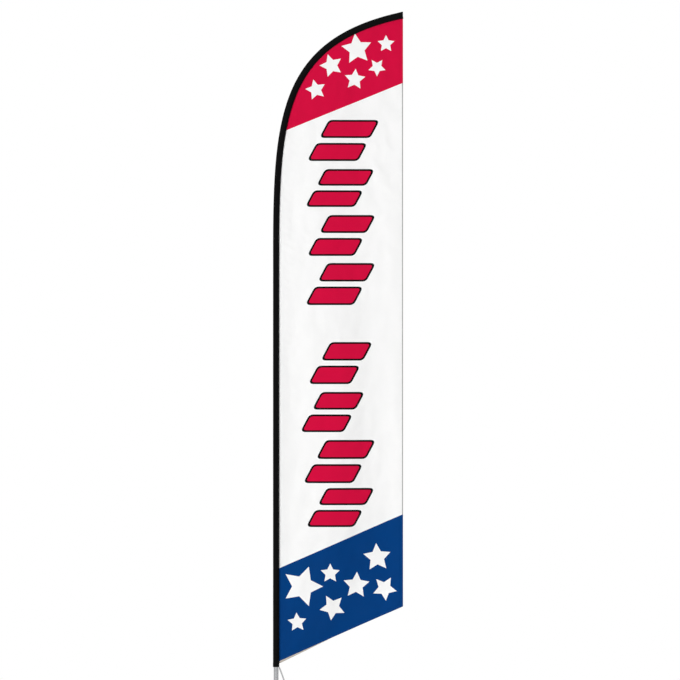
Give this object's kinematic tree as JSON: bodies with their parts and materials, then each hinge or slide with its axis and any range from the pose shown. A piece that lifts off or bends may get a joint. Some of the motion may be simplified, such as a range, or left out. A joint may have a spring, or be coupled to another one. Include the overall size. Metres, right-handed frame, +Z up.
{
  "type": "feather flag",
  "caption": "Tall printed feather flag on a sectional pole with a bent whip, standing on a ground stake with a turning spindle.",
  "frame": {"origin": "the pole's axis at ground level, where the step plate's underside rests on the ground", "axes": "+Z up along the pole, +X from the pole towards the flag's free edge, the printed faces look along -Y and +Y"},
  "size_m": [0.7442, 0.08, 4.7576],
  "materials": {
    "printed_polyester": "matt knitted polyester, printed in red, white and blue on both sides",
    "hem_tape": "folded and double-stitched",
    "sleeve_cloth": "heavy matt woven polyester",
    "elastic_cord": "braided cover over a rubber core",
    "pole_aluminium": "satin anodised",
    "whip_fibreglass": "smooth pultruded rod",
    "black_plastic": "moulded, lightly textured",
    "white_nylon": "machined",
    "zinc_steel": "zinc plated",
    "spring_steel": "blued",
    "painted_steel": "black powder coat",
    "rubber": "matt"
  },
  "bodies": {
    "ground_stake": {"stake_shaft": "painted_steel", "stake_fin_1": "painted_steel", "stake_fin_2": "painted_steel", "stake_fin_3": "painted_steel", "step_plate": "painted_steel", "bearing_housing": "painted_steel", "lower_bearing": "white_nylon", "upper_bearing": "white_nylon", "housing_cap": "painted_steel", "thrust_washer": "white_nylon"},
    "turning_spindle": {"spindle": "zinc_steel", "retaining_clip": "spring_steel", "grip_ring_1": "rubber", "grip_ring_2": "rubber"},
    "mast": {"pole_lower": "pole_aluminium", "pole_middle": "pole_aluminium", "pole_upper": "pole_aluminium", "pole_foot_cap": "black_plastic", "whip_ferrule": "black_plastic", "whip_rod": "whip_fibreglass", "whip_tip_cap": "rubber", "flag_panel": "printed_polyester", "bottom_hem": "hem_tape", "fly_hem": "hem_tape", "pole_sleeve": "sleeve_cloth", "sleeve_mouth_binding": "sleeve_cloth", "tip_pocket": "sleeve_cloth", "tie_collar": "black_plastic", "tie_cord": "elastic_cord", "cord_crimp": "black_plastic", "cord_hook": "zinc_steel"},
    "lower_button": {"snap_button_1": "zinc_steel", "button_spring_1": "spring_steel"},
    "upper_button": {"snap_button_2": "zinc_steel", "button_spring_2": "spring_steel"},
    "thumbscrew": {"collar_thumbscrew": "black_plastic"}
  },
  "joints": [
    {"name": "mast_swivel", "type": "hinge", "parent": "ground_stake", "child": "turning_spindle", "pos_m": [0, 0, 0.05], "axis": [0, 0, 1], "continuous": true},
    {"name": "pole_lift", "type": "slide", "parent": "turning_spindle", "child": "mast", "axis": [0, 0, 1], "range_m": [0, 0.28]},
    {"name": "lower_button_press", "type": "slide", "parent": "mast", "child": "lower_button", "axis": [1, 0, 0], "range_m": [0, 0.0036], "stiffness_N_per_m": 1200, "springref_m": -0.002},
    {"name": "upper_button_press", "type": "slide", "parent": "mast", "child": "upper_button", "axis": [1, 0, 0], "range_m": [0, 0.0036], "stiffness_N_per_m": 1200, "springref_m": -0.002},
    {"name": "thumbscrew_turn", "type": "hinge", "parent": "mast", "child": "thumbscrew", "pos_m": [0, -0.022, 0.405], "axis": [0, -1, 0], "continuous": true}
  ]
}
